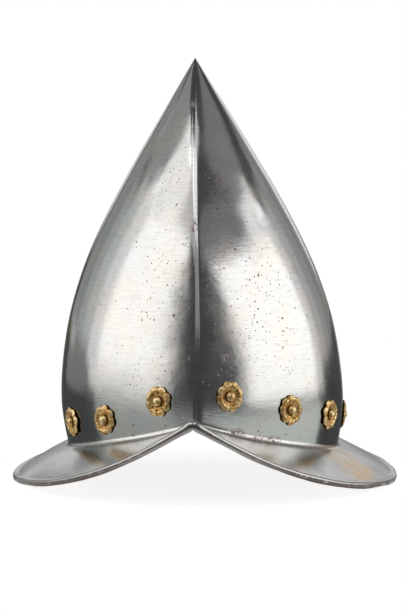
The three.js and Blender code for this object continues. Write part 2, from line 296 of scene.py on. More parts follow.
def outside_grid():
    """Rows of points from the apex down the skull, over the crease and brim and round the roll."""
    rows = []
    foot = crease_height(ALONG) + CREASE_SOFTNESS
    for share in np.linspace(0, 1, SKULL_ROWS + 1)[1:]:
        drop = share + ROW_CROWDING * share * (1 - share) * (share - 0.5)
        rows.append(skull_points(ALONG, SIDE, HEIGHT + (foot - HEIGHT) * drop))
    corner = skull_points(ALONG, SIDE, crease_height(ALONG))
    start = CREASE_SOFTNESS / np.linalg.norm(brim_end() - corner, axis=-1)
    bend_end = brim_points(start)
    for share in np.linspace(0, 1, CREASE_ROWS + 1)[1:]:
        rows.append((1 - share) ** 2 * rows[SKULL_ROWS - 1] + 2 * share * (1 - share) * corner
                    + share ** 2 * bend_end)
    for share in np.linspace(0, 1, BRIM_ROWS + 1)[1:]:
        rows.append(brim_points(start + (1 - start) * share))
    middle = roll_middle(ALONG, SIDE)
    across = across_roll(ALONG, SIDE)
    radius = roll_radius()
    for share in np.linspace(0, 1, ROLL_ROWS):
        angle = math.radians(ROLL_START + (ROLL_END - ROLL_START) * share)
        point = middle + across * (radius * math.cos(angle))[:, None]
        point[:, 2] += radius * math.sin(angle)
        rows.append(mitred(point))
    return np.stack(rows)


def grid_normals(grid):
    """Outward normals of a grid of points that closes round its columns."""
    onward = np.roll(grid, -1, 1) - np.roll(grid, 1, 1)
    down = np.gradient(grid, axis=0)
    normal = np.cross(down, onward)
    return normal / np.maximum(np.linalg.norm(normal, axis=-1, keepdims=True), 1e-12)


def unevenness_shares(rows, plain):
    """How much of the unevenness each row takes, and then each column."""
    by_row = np.ones(rows)
    by_row[plain - FADE_ROWS:] = np.linspace(1, ROLL_SHARE, rows - plain + FADE_ROWS)
    by_row[:STILL_ROWS] = np.linspace(0, 1, STILL_ROWS)
    by_column = np.clip((1 - np.abs(ALONG)) / KEEL_FADE, KEEL_SHARE, 1)
    return by_row[:, None] * by_column


def steel_grid():
    """The whole plate: outside, roll and inside, which is the outside moved in by the wall."""
    outside = outside_grid()
    plain = SKULL_ROWS + CREASE_ROWS + BRIM_ROWS
    normals = grid_normals(outside)
    hammered = lumps(outside, PLATE_WAVES) * unevenness_shares(len(outside), plain)
    outside = outside + normals * hammered[..., None]
    inside = outside[:plain] - normals[:plain] * WALL
    inside[..., 2] = np.minimum(inside[..., 2], HEIGHT - APEX_WALL)
    return outside, inside[APEX_SKIP:][::-INSIDE_SKIP]


def mesh_object(name, points, faces, smooth=True):
    """A new mesh in the scene."""
    mesh = bpy.data.meshes.new(name)
    mesh.from_pydata(points.tolist(), [], faces)
    mesh.validate()
    mesh.update()
    if smooth:
        mesh.polygons.foreach_set("use_smooth", [True] * len(mesh.polygons))
    piece = bpy.data.objects.new(name, mesh)
    bpy.context.scene.collection.objects.link(piece)
    return piece


def ring_faces(rows, columns):
    """Quads between neighbouring rows of a closed grid."""
    faces = []
    for row in range(rows - 1):
        upper = row * columns
        lower = upper + columns
        for k in range(columns):
            following = (k + 1) % columns
            faces.append((upper + k, lower + k, lower + following, upper + following))
    return faces


def steel_zones(rows):
    """For each row of points: how far it is on the brim, on the crease and on the roll."""
    row = np.arange(rows)
    brim = np.clip((row - SKULL_ROWS + 1) / CREASE_ROWS, 0, 1)
    crease = np.exp(-((row - SKULL_ROWS - 0.45 * CREASE_ROWS) / (0.36 * CREASE_ROWS)) ** 2)
    start = SKULL_ROWS + CREASE_ROWS + BRIM_ROWS
    roll = ((row >= start - 1) & (row < start + ROLL_ROWS)).astype(float)
    brim[start + ROLL_ROWS:] = 0
    crease[start + ROLL_ROWS:] = 0
    return {"brim": brim, "crease": crease, "roll": roll}


def store(piece, name, values):
    """Stores a value with each point of a mesh, for its material to read."""
    attribute = piece.data.attributes.new(name, "FLOAT", "POINT")
    attribute.data.foreach_set("value", np.ascontiguousarray(values, np.float32))


def make_steel():
    """The plate as one closed mesh, which stays within the frame's box."""
    outside, inside = steel_grid()
    columns = len(ALONG)
    low = np.array(CAD_LOW)
    high = np.array(CAD_HIGH)
    grid = np.clip(np.concatenate([outside, inside]), low, high)
    points = grid.reshape(-1, 3)
    tip_x = SKULL_OFFSET + APEX_LEAN
    tips = np.array([[tip_x, 0, HEIGHT], [tip_x, 0, HEIGHT - APEX_WALL]])
    points = np.concatenate([points, tips])
    faces = ring_faces(len(grid), columns)
    top, under = len(points) - 2, len(points) - 1
    last = (len(grid) - 1) * columns
    for k in range(columns):
        following = (k + 1) % columns
        faces.append((top, k, following))
        faces.append((under, last + following, last + k))
    piece = mesh_object("steel_plate", points, faces)
    for name, share in steel_zones(len(grid)).items():
        store(piece, name, np.append(np.repeat(share, columns), [0, 0]))
    slots = np.zeros(len(piece.data.polygons), np.int32)
    slots[(len(outside) - 2) * columns:last] = 1  # the inside, from the end of the roll
    slots[last + 1::2] = 1  # and the inner one of each pair of faces at the apex
    piece.data.materials.append(steel_material())
    piece.data.materials.append(inside_material())
    piece.data.polygons.foreach_set("material_index", slots)
    return piece


# Sizes of the rosettes
LOBES = 8
ROSETTE_RADIUS = 10.35 * MM
EDGE_SHARE = 0.985  # of the radius, which leaves room for the wear of the edge
EDGE_WEAR = 0.014
SCALLOP_DEPTH = 0.13
LOBE_FULLNESS = 0.8
ROSETTE_SEAT = 0.2 * MM
ROSETTE_SHEET = 0.45 * MM
HOLE_RADIUS = 1.75 * MM
DISH_RADIUS = 3.9 * MM
CROWN_SHARE = 0.72
CROWN_RISE = 1.4 * MM
RIM_RISE = 0.25 * MM
RIM_ROUNDING = 0.22 * MM
RIM_UNDERCUT = 0.15 * MM
LEAST_LIFT = 0.1 * MM
PUNCH_RADIUS = 0.55 * MM
PUNCH_DEPTH = 0.3 * MM
PETAL_RISE = 0.16 * MM
GROOVE_DEPTH = 0.2 * MM
LIP_RISE = 0.12 * MM
ROSETTE_STEPS = 128
TOP_RINGS = 34

# Punched dots of a rosette: ring is a share of its radius, turn a share of a lobe
PUNCH_RINGS = [
    {"ring": 0.8, "turn": 0.0},
    {"ring": 0.58, "turn": 0.5},
    {"ring": 0.64, "turn": 0.05},
]

# Sizes of the rivets
RIVET_FOOT = 1.4 * MM
RIVET_HEAD_RADIUS = 3.35 * MM
RIVET_HEAD_HEIGHT = 2.6 * MM
HEAD_UNDERCUT = 0.15 * MM
HEAD_RINGS = 15
HEAD_FULLNESS = 0.92  # 1 would be a true dome, less is a fuller one
SHANK_RADIUS = 1.3 * MM
CLENCH_TOP = -1.9 * MM
CLENCH_HEIGHT = 1.0 * MM
CLENCH_RADIUS = 2.4 * MM
RIVET_STEPS = 40

# The clenched end: radius as a share of its own, drop as a share of its height
CLENCH_ROWS = [
    {"radius": 0.96, "drop": 0.0, "bare": 0.2},
    {"radius": 1.0, "drop": 0.35, "bare": 0.4},
    {"radius": 0.82, "drop": 0.85, "bare": 0.6},
    {"radius": 0.4, "drop": 1.0, "bare": 0.6},
]


def seat_of(node):
    """The frame of a rosette: its foot on the wall, then across, up and out, from its solid."""
    points = np.array([v.co for v in node.data.vertices])
    middle = points.mean(0)
    out = np.linalg.svd(points - middle)[2][2]
    if out @ (middle * (1, 1, 0)) < 0:
        out = -out
    across = np.cross((0, 0, 1), out)
    across /= np.linalg.norm(across)
    up = np.cross(out, across)
    origin = middle + out * (((points - middle) @ out).min() - ROSETTE_SEAT)
    flat = np.stack([(points - origin) @ across, (points - origin) @ up], -1)
    reach = np.hypot(flat[:, 0], flat[:, 1])
    turn = np.arctan2(flat[:, 1], flat[:, 0])
    rim = reach > 0.8 * reach.max()
    phase = np.angle((reach[rim] ** 4 * np.exp(1j * LOBES * turn[rim])).sum()) / LOBES
    return origin, np.stack([across, up, out]), phase


def smooth(low, high, value):
    """0 below low and 1 above high, smooth between."""
    share = np.clip((value - low) / (high - low), 0, 1)
    return share * share * (3 - 2 * share)


def punched_dots(reach, turn, chance):
    """How deep in a punched dot each point lies, from 0 to about 1."""
    dots = np.zeros_like(reach)
    for k in range(LOBES):
        for row in PUNCH_RINGS:
            angle = 2 * np.pi * (k + row["turn"]) / LOBES + chance.normal(0, 0.05)
            ring = row["ring"] * chance.uniform(0.97, 1.03) * ROSETTE_RADIUS
            away = np.hypot(reach * np.cos(turn) - ring * np.cos(angle),
                            reach * np.sin(turn) - ring * np.sin(angle))
            dots += np.exp(-(away / PUNCH_RADIUS) ** 2)
    return dots


def rosette_relief(reach, turn, chance):
    """Height of the stamped top over the seat, and how bare of grime it is."""
    share = reach / ROSETTE_RADIUS
    rise = smooth(DISH_RADIUS, CROWN_SHARE * ROSETTE_RADIUS, reach) * CROWN_RISE
    fall = smooth(CROWN_SHARE, 1, share) * (CROWN_RISE - RIM_RISE)
    petal = np.abs(np.cos(LOBES * turn / 2))
    petals = smooth(0.45, 0.7, share) * PETAL_RISE * (petal - 0.6)
    groove = np.exp(-(petal / 0.2) ** 2) * smooth(0.5, 0.8, share)
    lip = np.exp(-((reach - 1.12 * DISH_RADIUS) / (0.5 * MM)) ** 2)
    dots = punched_dots(reach, turn, chance)
    height = rise - fall + petals + LIP_RISE * lip - GROOVE_DEPTH * groove - PUNCH_DEPTH * dots
    bare = 0.42 + 0.5 * rise / CROWN_RISE + 0.12 * (petal - 0.6) + 0.2 * lip
    return height, bare - 0.45 * groove - 0.55 * np.clip(dots, 0, 1)


def rosette_edge(turn, chance):
    """The scalloped edge, worn a little out of true."""
    lobe = np.abs(np.cos(LOBES * turn / 2)) ** LOBE_FULLNESS
    worn = 1
    for waves in (3, 7):
        worn = worn + EDGE_WEAR * np.sin(waves * turn + chance.uniform(0, 6))
    return EDGE_SHARE * ROSETTE_RADIUS * (1 - SCALLOP_DEPTH * (1 - lobe)) * worn


def rosette_rings(turn, edge, number):
    """Reach, height and bareness of each ring, with painted shade in the dish round the rivet's head: out
    over the stamped top and back underneath.
    """
    rings = []
    for share in np.linspace(0, 1, TOP_RINGS):
        reach = HOLE_RADIUS + (edge - HOLE_RADIUS) * share
        height, bare = rosette_relief(reach, turn, np.random.default_rng(200 + number))
        height += ROSETTE_SEAT + ROSETTE_SHEET - RIM_ROUNDING * smooth(0.94, 1.0, share)
        # The dish round the rivet's head is darkened: painted shade of the head
        rings.append((reach, height, bare - 0.42 * (reach < 1.02 * DISH_RADIUS)))
    for share in (1.0, 0.8, 0.55, 0.3, 0.0):
        reach = HOLE_RADIUS + (edge - HOLE_RADIUS) * share - RIM_UNDERCUT * (share == 1.0)
        height = ROSETTE_SEAT + RIM_RISE * smooth(0.1, 1.0, share) + 0 * turn
        rings.append((reach, height, 0 * turn))
    return rings


def make_rosette(number, seat):
    """A scalloped brass washer, stamped from sheet, with a little wear and unevenness of its own."""
    origin, axes, phase = seat
    chance = np.random.default_rng(100 + number)
    turn = np.linspace(0, 2 * np.pi, ROSETTE_STEPS, endpoint=False)
    rings = rosette_rings(turn, rosette_edge(turn, chance), number)
    bend = 0.12 * MM * np.cos(2 * turn + chance.uniform(0, 6))
    bend += 0.08 * MM * np.sin(5 * turn + chance.uniform(0, 6))
    angle = turn + phase
    points = []
    for reach, height, _ in rings:
        lifted = height + bend * (reach / ROSETTE_RADIUS) ** 2 * (reach > DISH_RADIUS)
        lifted = np.maximum(lifted, LEAST_LIFT)
        points.append(origin + np.stack([reach * np.cos(angle), reach * np.sin(angle), lifted], -1) @ axes)
    faces = ring_faces(len(rings), ROSETTE_STEPS)
    last = (len(rings) - 1) * ROSETTE_STEPS
    for k in range(ROSETTE_STEPS):
        following = (k + 1) % ROSETTE_STEPS
        faces.append((last + k, k, following, last + following))
    faces = [face[::-1] for face in faces]
    piece = mesh_object(f"brass_rosette_{number:02d}", np.concatenate(points), faces)
    store(piece, "bare", np.concatenate([bare for _, _, bare in rings]))
    return piece


def rivet_profile():
    """Radius, height over the wall and bareness, from the top of the dome to the clenched end."""
    rows = []
    for angle in np.radians(np.linspace(90, 0, HEAD_RINGS)):
        radius = RIVET_HEAD_RADIUS * math.cos(angle) ** HEAD_FULLNESS
        height = RIVET_FOOT + RIVET_HEAD_HEIGHT * math.sin(angle)
        rows.append((radius, height, 0.55 + 0.6 * math.sin(angle)))
    rows.append((0.93 * RIVET_HEAD_RADIUS, RIVET_FOOT - HEAD_UNDERCUT, 0.2))
    rows.append((SHANK_RADIUS, RIVET_FOOT - HEAD_UNDERCUT, 0.0))
    rows.append((SHANK_RADIUS, CLENCH_TOP, 0.0))
    for row in CLENCH_ROWS:
        rows.append((row["radius"] * CLENCH_RADIUS, CLENCH_TOP - row["drop"] * CLENCH_HEIGHT, row["bare"]))
    return rows


def make_rivet(number, seat):
    """A brass rivet with a domed head, a little out of round from the hammer."""
    origin, axes, _ = seat
    chance = np.random.default_rng(300 + number)
    first, tilted, second = (chance.uniform(0, 6) for _ in range(3))
    turn = np.linspace(0, 2 * np.pi, RIVET_STEPS, endpoint=False)
    uneven = 1 + 0.025 * np.sin(2 * turn + first) + 0.02 * np.sin(3 * turn + second)
    profile = rivet_profile()
    points = []
    for radius, height, _ in profile:
        reach = radius * uneven
        level = height + 0.02 * radius * np.sin(turn + tilted)
        points.append(origin + np.stack([reach * np.cos(turn), reach * np.sin(turn), level], -1) @ axes)
    points.append([origin - axes[2] * (-CLENCH_TOP + CLENCH_HEIGHT)])
    faces = [face[::-1] for face in ring_faces(len(profile), RIVET_STEPS)]
    end = len(profile) * RIVET_STEPS
    for k in range(RIVET_STEPS):
        faces.append((end - RIVET_STEPS + k, end, end - RIVET_STEPS + (k + 1) % RIVET_STEPS))
    piece = mesh_object(f"brass_rivet_{number:02d}", np.concatenate(points), faces)
    bare = np.repeat([row[2] for row in profile], RIVET_STEPS)
    store(piece, "bare", np.append(bare, profile[-1][2]))
    return piece


class Tree:
    """Short calls that add and join a material's nodes."""

    def __init__(self, name):
        self.material = bpy.data.materials.new(name)
        self.material.use_nodes = True
        self.nodes = self.material.node_tree.nodes
        self.links = self.material.node_tree.links
        self.shader = self.nodes["Principled BSDF"]
        self.place = self.nodes.new("ShaderNodeTexCoord").outputs["Object"]

    def feed(self, socket, value):
        """Links a socket to another one, or sets it to a value."""
        if isinstance(value, bpy.types.NodeSocket):
            self.links.new(value, socket)
        else:
            socket.default_value = value

    def math(self, operation, a, b=0.0, clamp=False):
        node = self.nodes.new("ShaderNodeMath")
        node.operation = operation
        node.use_clamp = clamp
        self.feed(node.inputs[0], a)
        self.feed(node.inputs[1], b)
        return node.outputs[0]

    def times(self, a, b):
        return self.math("MULTIPLY", a, b)

    def plus(self, a, b):
        return self.math("ADD", a, b)

    def most(self, a, b):
        return self.math("MAXIMUM", a, b)

    def stored(self, name):
        """A value that was stored with the mesh."""
        node = self.nodes.new("ShaderNodeAttribute")
        node.attribute_name = name
        return node.outputs["Fac"]

    def upright(self, vector):
        """The upward part of a vector."""
        node = self.nodes.new("ShaderNodeSeparateXYZ")
        self.links.new(vector, node.inputs[0])
        return node.outputs["Z"]

    def stretched(self, x, y, z):
        """Places for a grain that is finer the larger the numbers are."""
        node = self.nodes.new("ShaderNodeMapping")
        self.links.new(self.place, node.inputs["Vector"])
        node.inputs["Scale"].default_value = (x, y, z)
        return node.outputs["Vector"]

    def streaked(self, turn, onward, across):
        """Places measured in grain lengths: onward along a level direction, across the other two."""
        node = self.nodes.new("ShaderNodeMapping")
        node.vector_type = "TEXTURE"
        self.links.new(self.place, node.inputs["Vector"])
        node.inputs["Rotation"].default_value = (0, 0, math.radians(turn))
        node.inputs["Scale"].default_value = (onward, across, across)
        return node.outputs["Vector"]

    def noise(self, scale, detail=4.0, roughness=0.55, vector=None):
        node = self.nodes.new("ShaderNodeTexNoise")
        self.links.new(vector or self.place, node.inputs["Vector"])
        node.inputs["Scale"].default_value = scale
        node.inputs["Detail"].default_value = detail
        node.inputs["Roughness"].default_value = roughness
        return node.outputs["Fac"]

    def cells(self, scale):
        """Distance from the middle of the nearest cell, and a chance colour for each cell."""
        node = self.nodes.new("ShaderNodeTexVoronoi")
        self.links.new(self.place, node.inputs["Vector"])
        node.inputs["Scale"].default_value = scale
        return node.outputs["Distance"], node.outputs["Color"]

    def ramp(self, value, low, high):
        """0 below low and 1 above high, smooth between."""
        node = self.nodes.new("ShaderNodeMapRange")
        node.interpolation_type = "SMOOTHSTEP"
        self.feed(node.inputs["Value"], value)
        node.inputs["From Min"].default_value = low
        node.inputs["From Max"].default_value = high
        if low > high:
            node.inputs["From Min"].default_value = high
            node.inputs["From Max"].default_value = low
            node.inputs["To Min"].default_value = 1
            node.inputs["To Max"].default_value = 0
        return node.outputs["Result"]

    def near(self, centre, reach):
        """1 at a point of the helmet, falling to 0 at its reach."""
        node = self.nodes.new("ShaderNodeMapping")
        self.links.new(self.place, node.inputs["Vector"])
        node.inputs["Location"].default_value = [-c / r for c, r in zip(centre, reach)]
        node.inputs["Scale"].default_value = [1 / r for r in reach]
        length = self.nodes.new("ShaderNodeVectorMath")
        length.operation = "LENGTH"
        self.links.new(node.outputs["Vector"], length.inputs[0])
        return self.ramp(length.outputs["Value"], 1.0, 0.35)

    def mix(self, share, a, b):
        node = self.nodes.new("ShaderNodeMix")
        node.data_type = "RGBA"
        self.feed(node.inputs["Factor"], share)
        self.feed(node.inputs["A"], a)
        self.feed(node.inputs["B"], b)
        return node.outputs["Result"]

    def bump(self, height, strength, distance, before=None):
        node = self.nodes.new("ShaderNodeBump")
        node.inputs["Strength"].default_value = strength
        node.inputs["Distance"].default_value = distance
        self.feed(node.inputs["Height"], height)
        if before:
            self.links.new(before, node.inputs["Normal"])
        return node.outputs["Normal"]

    def set(self, name, value):
        self.feed(self.shader.inputs[name], value)


def colour(red, green, blue):
    return (red, green, blue, 1.0)


# Where the steel is pitted, in millimetres of the helmet. reach is the half size of the patch
# across, front to back and up, share is how many of the likely pits are there.
PIT_PATCHES = [
    {"at": (44, -72, 125), "reach": (34, 50, 62), "share": 0.52},
    {"at": (28, -86, 118), "reach": (13, 30, 56), "share": 0.5},
    {"at": (24, -80, 163), "reach": (14, 25, 14), "share": 0.5},
    {"at": (-20, -62, 205), "reach": (16, 30, 24), "share": 0.55},
    {"at": (-24, -85, 146), "reach": (26, 30, 44), "share": 0.42},
    {"at": (-26, -95, 78), "reach": (30, 30, 22), "share": 0.42},
    {"at": (-5, -90, 168), "reach": (8, 20, 14), "share": 0.55},
    {"at": (36, -92, 39), "reach": (28, 24, 8), "share": 0.9},
    {"at": (-38, 60, 130), "reach": (60, 50, 70), "share": 0.4},
    {"at": (40, 66, 150), "reach": (50, 50, 60), "share": 0.4},
]

# Spots of red rust
RUST_SPOTS = [
    {"at": (-3.2, -86, 178), "reach": (3.4, 6, 7.5), "share": 0.85},
    {"at": (-5.8, -46, 241), "reach": (2.2, 6, 7), "share": 0.5},
    {"at": (-6.2, -31, 258), "reach": (2.2, 6, 5), "share": 0.7},
    {"at": (6, -42, 236), "reach": (8, 14, 9), "share": 0.22},
    {"at": (10, -54, 217), "reach": (7, 12, 9), "share": 0.35},
    {"at": (11, -92, 148), "reach": (6, 12, 14), "share": 0.25},
    {"at": (14, -70, 190), "reach": (14, 34, 62), "share": 0.16},
    {"at": (18, -100, 93), "reach": (5, 9, 5), "share": 0.4},
    {"at": (25, -100, 43.5), "reach": (10, 10, 4), "share": 0.8},
    {"at": (39, -91, 38.5), "reach": (9, 9, 3.5), "share": 0.8},
    {"at": (49, -81, 36.5), "reach": (9, 9, 4), "share": 0.95},
    {"at": (0, -177, 58), "reach": (1.8, 7, 5), "share": 0.9},
    {"at": (0, 90, 150), "reach": (6, 20, 30), "share": 0.4},
    {"at": (-60, 90, 30), "reach": (26, 20, 12), "share": 0.35},
]

# Where small red specks lie apart from one another
RED_SPECKS = [
    {"at": (12, -84, 175), "reach": (15, 44, 95), "share": 0.32},
    {"at": (0, 84, 180), "reach": (30, 44, 90), "share": 0.2},
]

# Straw and ochre stains, as steel takes from heat or old oil
STRAW_STAINS = [
    {"at": (106, -58, 16), "reach": (19, 34, 16), "share": 1.0},
    {"at": (92, -44, 22), "reach": (20, 34, 16), "share": 0.6},
    {"at": (-92, -22, 103), "reach": (4, 12, 17), "share": 0.7},
    {"at": (86, -6, 121), "reach": (5, 14, 18), "share": 0.7},
    {"at": (-84, 40, 96), "reach": (8, 20, 26), "share": 0.5},
]

# Painted dark reflections: patches of the brim painted darker and greyer
PAINTED_REFLECTION_PATCHES = [
    {"at": (-72, -84, 25), "reach": (16, 46, 13), "share": 0.85},
    {"at": (73, -84, 25), "reach": (14, 42, 13), "share": 0.6},
    {"at": (118, -45, 8), "reach": (22, 38, 9), "share": 0.5},
]

# How the straw stains are drawn out, in a level direction, with the length and width of their grain
STRAW_GRAIN = {"turn": -38, "onward": 46 * MM, "across": 8 * MM}

# Colours of the metals, as linear red, green and blue
TONES = {
    "cool": (0.575, 0.58, 0.58),
    # Painted reflection, darker and greener, low on the skull
    "warm": (0.61, 0.585, 0.555),
    "low": (0.475, 0.485, 0.465),
    "dull": (0.44, 0.42, 0.395),
    "scratch": (0.42, 0.41, 0.40),
    "brim": (0.60, 0.59, 0.575),
    # Painted dark reflection on the brim
    "reflected_dark": (0.14, 0.145, 0.14),
    "chalky": (0.62, 0.585, 0.56),
    "straw": (0.57, 0.39, 0.19),
    "rust": (0.22, 0.10, 0.06),
    "red": (0.40, 0.17, 0.09),
    "halo": (0.36, 0.22, 0.14),
    "pit": (0.09, 0.055, 0.042),
    "rusty_pit": (0.17, 0.085, 0.05),
    # Painted shade, dark brown, for faces turned down and the roll's lower turn
    "underside_shade": (0.075, 0.054, 0.045),
    "inside": (0.10, 0.09, 0.085),
    "inside_brown": (0.17, 0.115, 0.075),
    "brass_brown": (0.10, 0.055, 0.028),
    "brass_deep": (0.66, 0.37, 0.12),
    "brass_golden": (0.84, 0.56, 0.21),
    "brass_bright": (1.0, 0.77, 0.40),
}


def tone(name):
    return colour(*TONES[name])


def patches(tree, rows):
    """How strongly each point of the helmet lies in the patches of a table."""
    total = 0.0
    for row in rows:
        place = tree.near([c * MM for c in row["at"]], [r * MM for r in row["reach"]])
        total = tree.most(total, tree.times(place, row["share"]))
    return total


def specks(tree, size, radius, likely):
    """Round specks, one cell in so many, no bigger than a share of the cell."""
    distance, chance = tree.cells(1 / size)
    picked = tree.nodes.new("ShaderNodeSeparateColor")
    tree.links.new(chance, picked.inputs[0])
    present = tree.math("LESS_THAN", picked.outputs["Red"], likely)
    reach = tree.plus(tree.times(picked.outputs["Green"], radius), 0.35 * radius)
    inside = tree.math("SUBTRACT", reach, distance)
    return tree.times(present, tree.ramp(inside, 0.0, 0.45 * radius))


def steel_pits(tree, likely):
    """Pits of three sizes."""
    large = specks(tree, 5.4 * MM, 0.12, tree.times(likely, 0.5))
    small = specks(tree, 2.7 * MM, 0.18, tree.times(likely, 0.7))
    faint = specks(tree, 1.9 * MM, 0.22, tree.times(likely, 0.8))
    return tree.most(tree.most(large, small), tree.times(faint, 0.5))


def steel_painted_shade(tree, tilt, height, fine_cloud):
    """Painted shade in a dark brown: on what faces down, and on the lower turn of the roll, stronger near
    the bottom of the helmet.
    """
    below = tree.ramp(tilt, -0.12, -0.6)
    turned = tree.times(tree.stored("roll"), tree.ramp(tilt, 0.45, 0.0))
    turned = tree.times(turned, tree.ramp(fine_cloud, 0.2, 0.5))
    lowest = tree.ramp(height, 0.16 * HEIGHT, 0.05 * HEIGHT)
    return tree.times(tree.most(below, tree.times(turned, 0.9)), tree.plus(0.65, tree.times(lowest, 0.35)))


def steel_tones_and_reflections(tree, height, cloud, fine_cloud, scratches):
    """The steel's tones: cloudy, with a painted darker, greener reflection low on the skull, finely
    scratched and paler on the brim, with painted dark reflections on parts of the brim.
    """
    brim = tree.stored("brim")
    low_reflection_band = tree.ramp(height, 0.36 * HEIGHT, 0.2 * HEIGHT)
    clean = tree.mix(tree.ramp(cloud, 0.4, 0.62), tone("cool"), tone("warm"))
    # Painted reflection: the skull turns darker and greener towards its foot
    clean = tree.mix(tree.times(low_reflection_band, 0.55), clean, tone("low"))
    clean = tree.mix(tree.times(tree.ramp(fine_cloud, 0.48, 0.75), 0.3), clean, tone("dull"))
    clean = tree.mix(tree.times(tree.ramp(scratches, 0.42, 0.72), 0.28), clean, tone("scratch"))
    clean = tree.mix(tree.times(brim, 0.75), clean, tone("brim"))
    # Painted reflection: dark patches on the brim
    clean = tree.mix(tree.times(brim, patches(tree, PAINTED_REFLECTION_PATCHES)), clean, tone("reflected_dark"))
    chalky = tree.times(tree.stored("crease"), tree.ramp(fine_cloud, 0.35, 0.6))
    return tree.mix(tree.times(chalky, 0.6), clean, tone("chalky"))


def worn_steel(tree, clean, cloud, likely, pits, rust):
    """The bare steel with straw stains, rust, red specks and pits laid over it."""
    drawn = tree.noise(1, 5, 0.62, tree.streaked(**STRAW_GRAIN))
    straw = tree.times(patches(tree, STRAW_STAINS), tree.ramp(drawn, 0.3, 0.52))
    worn = tree.mix(straw, clean, tone("straw"))
    worn = tree.mix(tree.times(rust, 0.85), worn, tone("rust"))
    red = specks(tree, 4.1 * MM, 0.19, patches(tree, RED_SPECKS))
    worn = tree.mix(tree.times(red, 0.8), worn, tone("red"))
    halo = specks(tree, 5.4 * MM, 0.26, tree.times(likely, 0.4))
    worn = tree.mix(tree.times(halo, 0.25), worn, tone("halo"))
    pit_tone = tree.mix(tree.ramp(cloud, 0.35, 0.65), tone("pit"), tone("rusty_pit"))
    return tree.mix(tree.times(pits, 0.9), worn, pit_tone)


def steel_roughness(tree, brush, cloud, pits_rust_and_shade):
    """Glossy steel, a little duller on the brim, the crease and what is pitted, rusty or under painted brown
    shade.
    """
    rough = tree.plus(tree.times(brush, 0.08), 0.08)
    rough = tree.plus(rough, tree.times(tree.ramp(cloud, 0.35, 0.7), 0.05))
    rough = tree.plus(rough, tree.times(tree.stored("brim"), 0.1))
    rough = tree.plus(rough, tree.times(tree.stored("crease"), 0.08))
    return tree.math("ADD", rough, tree.times(pits_rust_and_shade, 0.3), clamp=True)


def steel_relief(tree, brush, scratches, fine_cloud, pits):
    """Brush marks, scratches and grain, a rougher crease, and pits that go in."""
    uneven = tree.times(fine_cloud, tree.plus(tree.times(tree.stored("crease"), 3.0), 1.0))
    surface = tree.bump(brush, 0.4, 0.05 * MM)
    surface = tree.bump(scratches, 0.14, 0.05 * MM, surface)
    surface = tree.bump(tree.noise(1500, 2, 0.5), 0.08, 0.08 * MM, surface)
    surface = tree.bump(uneven, 0.22, 0.16 * MM, surface)
    return tree.bump(tree.times(pits, -1.0), 0.8, 0.25 * MM, surface)


def steel_material():
    """Burnished steel: brush marks, cloudy patches, pits, rust, straw stains, painted reflections low on the
    skull and on the brim, and painted brown shade on what faces down.
    """
    tree = Tree("burnished_steel")
    tilt = tree.upright(tree.nodes.new("ShaderNodeNewGeometry").outputs["Normal"])
    height = tree.upright(tree.place)
    brush = tree.noise(1, 5, 0.65, tree.stretched(110, 110, 1300))
    scratches = tree.noise(1, 3, 0.6, tree.stretched(75, 75, 950))
    cloud = tree.noise(42, 4, 0.55)
    fine_cloud = tree.noise(150, 4, 0.6)
    pitted = tree.most(patches(tree, PIT_PATCHES), tree.times(tree.stored("crease"), 0.5))
    likely = tree.plus(pitted, 0.08)
    pits = steel_pits(tree, likely)
    rust = tree.times(patches(tree, RUST_SPOTS), tree.ramp(tree.noise(620, 4, 0.65), 0.42, 0.6))
    painted_shade = steel_painted_shade(tree, tilt, height, fine_cloud)
    clean = steel_tones_and_reflections(tree, height, cloud, fine_cloud, scratches)
    worn = worn_steel(tree, clean, cloud, likely, pits, rust)
    crusted = tree.most(rust, tree.times(pits, 0.6))
    pits_rust_and_shade = tree.most(pits, tree.most(rust, painted_shade))
    # Painted shade: faces turned down and the roll's lower turn are darkened to the dark brown shade tone
    tree.set("Base Color", tree.mix(painted_shade, worn, tone("underside_shade")))
    tree.set("Metallic", tree.math("SUBTRACT", 1.0, tree.times(crusted, 0.8)))
    tree.set("Roughness", steel_roughness(tree, brush, cloud, pits_rust_and_shade))
    tree.set("Normal", steel_relief(tree, brush, scratches, fine_cloud, pits))
    return tree.material


def inside_material():
    """The inside, left black and brown from the hammer."""
    tree = Tree("inside_steel")
    cloud = tree.noise(40, 5, 0.6)
    tree.set("Metallic", 0.85)
    tree.set("Base Color", tree.mix(tree.ramp(cloud, 0.4, 0.62), tone("inside"), tone("inside_brown")))
    tree.set("Roughness", tree.plus(tree.times(cloud, 0.3), 0.5))
    tree.set("Normal", tree.bump(tree.noise(160, 5, 0.6), 0.5, 0.5 * MM))
    return tree.material


def brass_material():
    """Stamped brass: brown in the hollows, golden on the flats, bright where it is rubbed, and with painted
    shade in the dish round each rivet's head.
    """
    tree = Tree("stamped_brass")
    cloud = tree.noise(330, 4, 0.65)
    patchy = tree.times(tree.math("SUBTRACT", cloud, 0.5), 1.9)
    bare = tree.plus(tree.stored("bare"), patchy)
    golden = tree.mix(tree.ramp(cloud, 0.35, 0.65), tone("brass_deep"), tone("brass_golden"))
    golden = tree.mix(tree.ramp(bare, 0.0, 0.55), tone("brass_brown"), golden)
    tree.set("Base Color", tree.mix(tree.ramp(bare, 0.72, 1.05), golden, tone("brass_bright")))
    tree.set("Metallic", 1.0)
    tree.set("Roughness", tree.math("SUBTRACT", 0.64, tree.times(tree.ramp(bare, 0.3, 1.0), 0.27)))
    tree.set("Normal", tree.bump(tree.noise(620, 4, 0.65), 0.6, 0.25 * MM))
    return tree.material


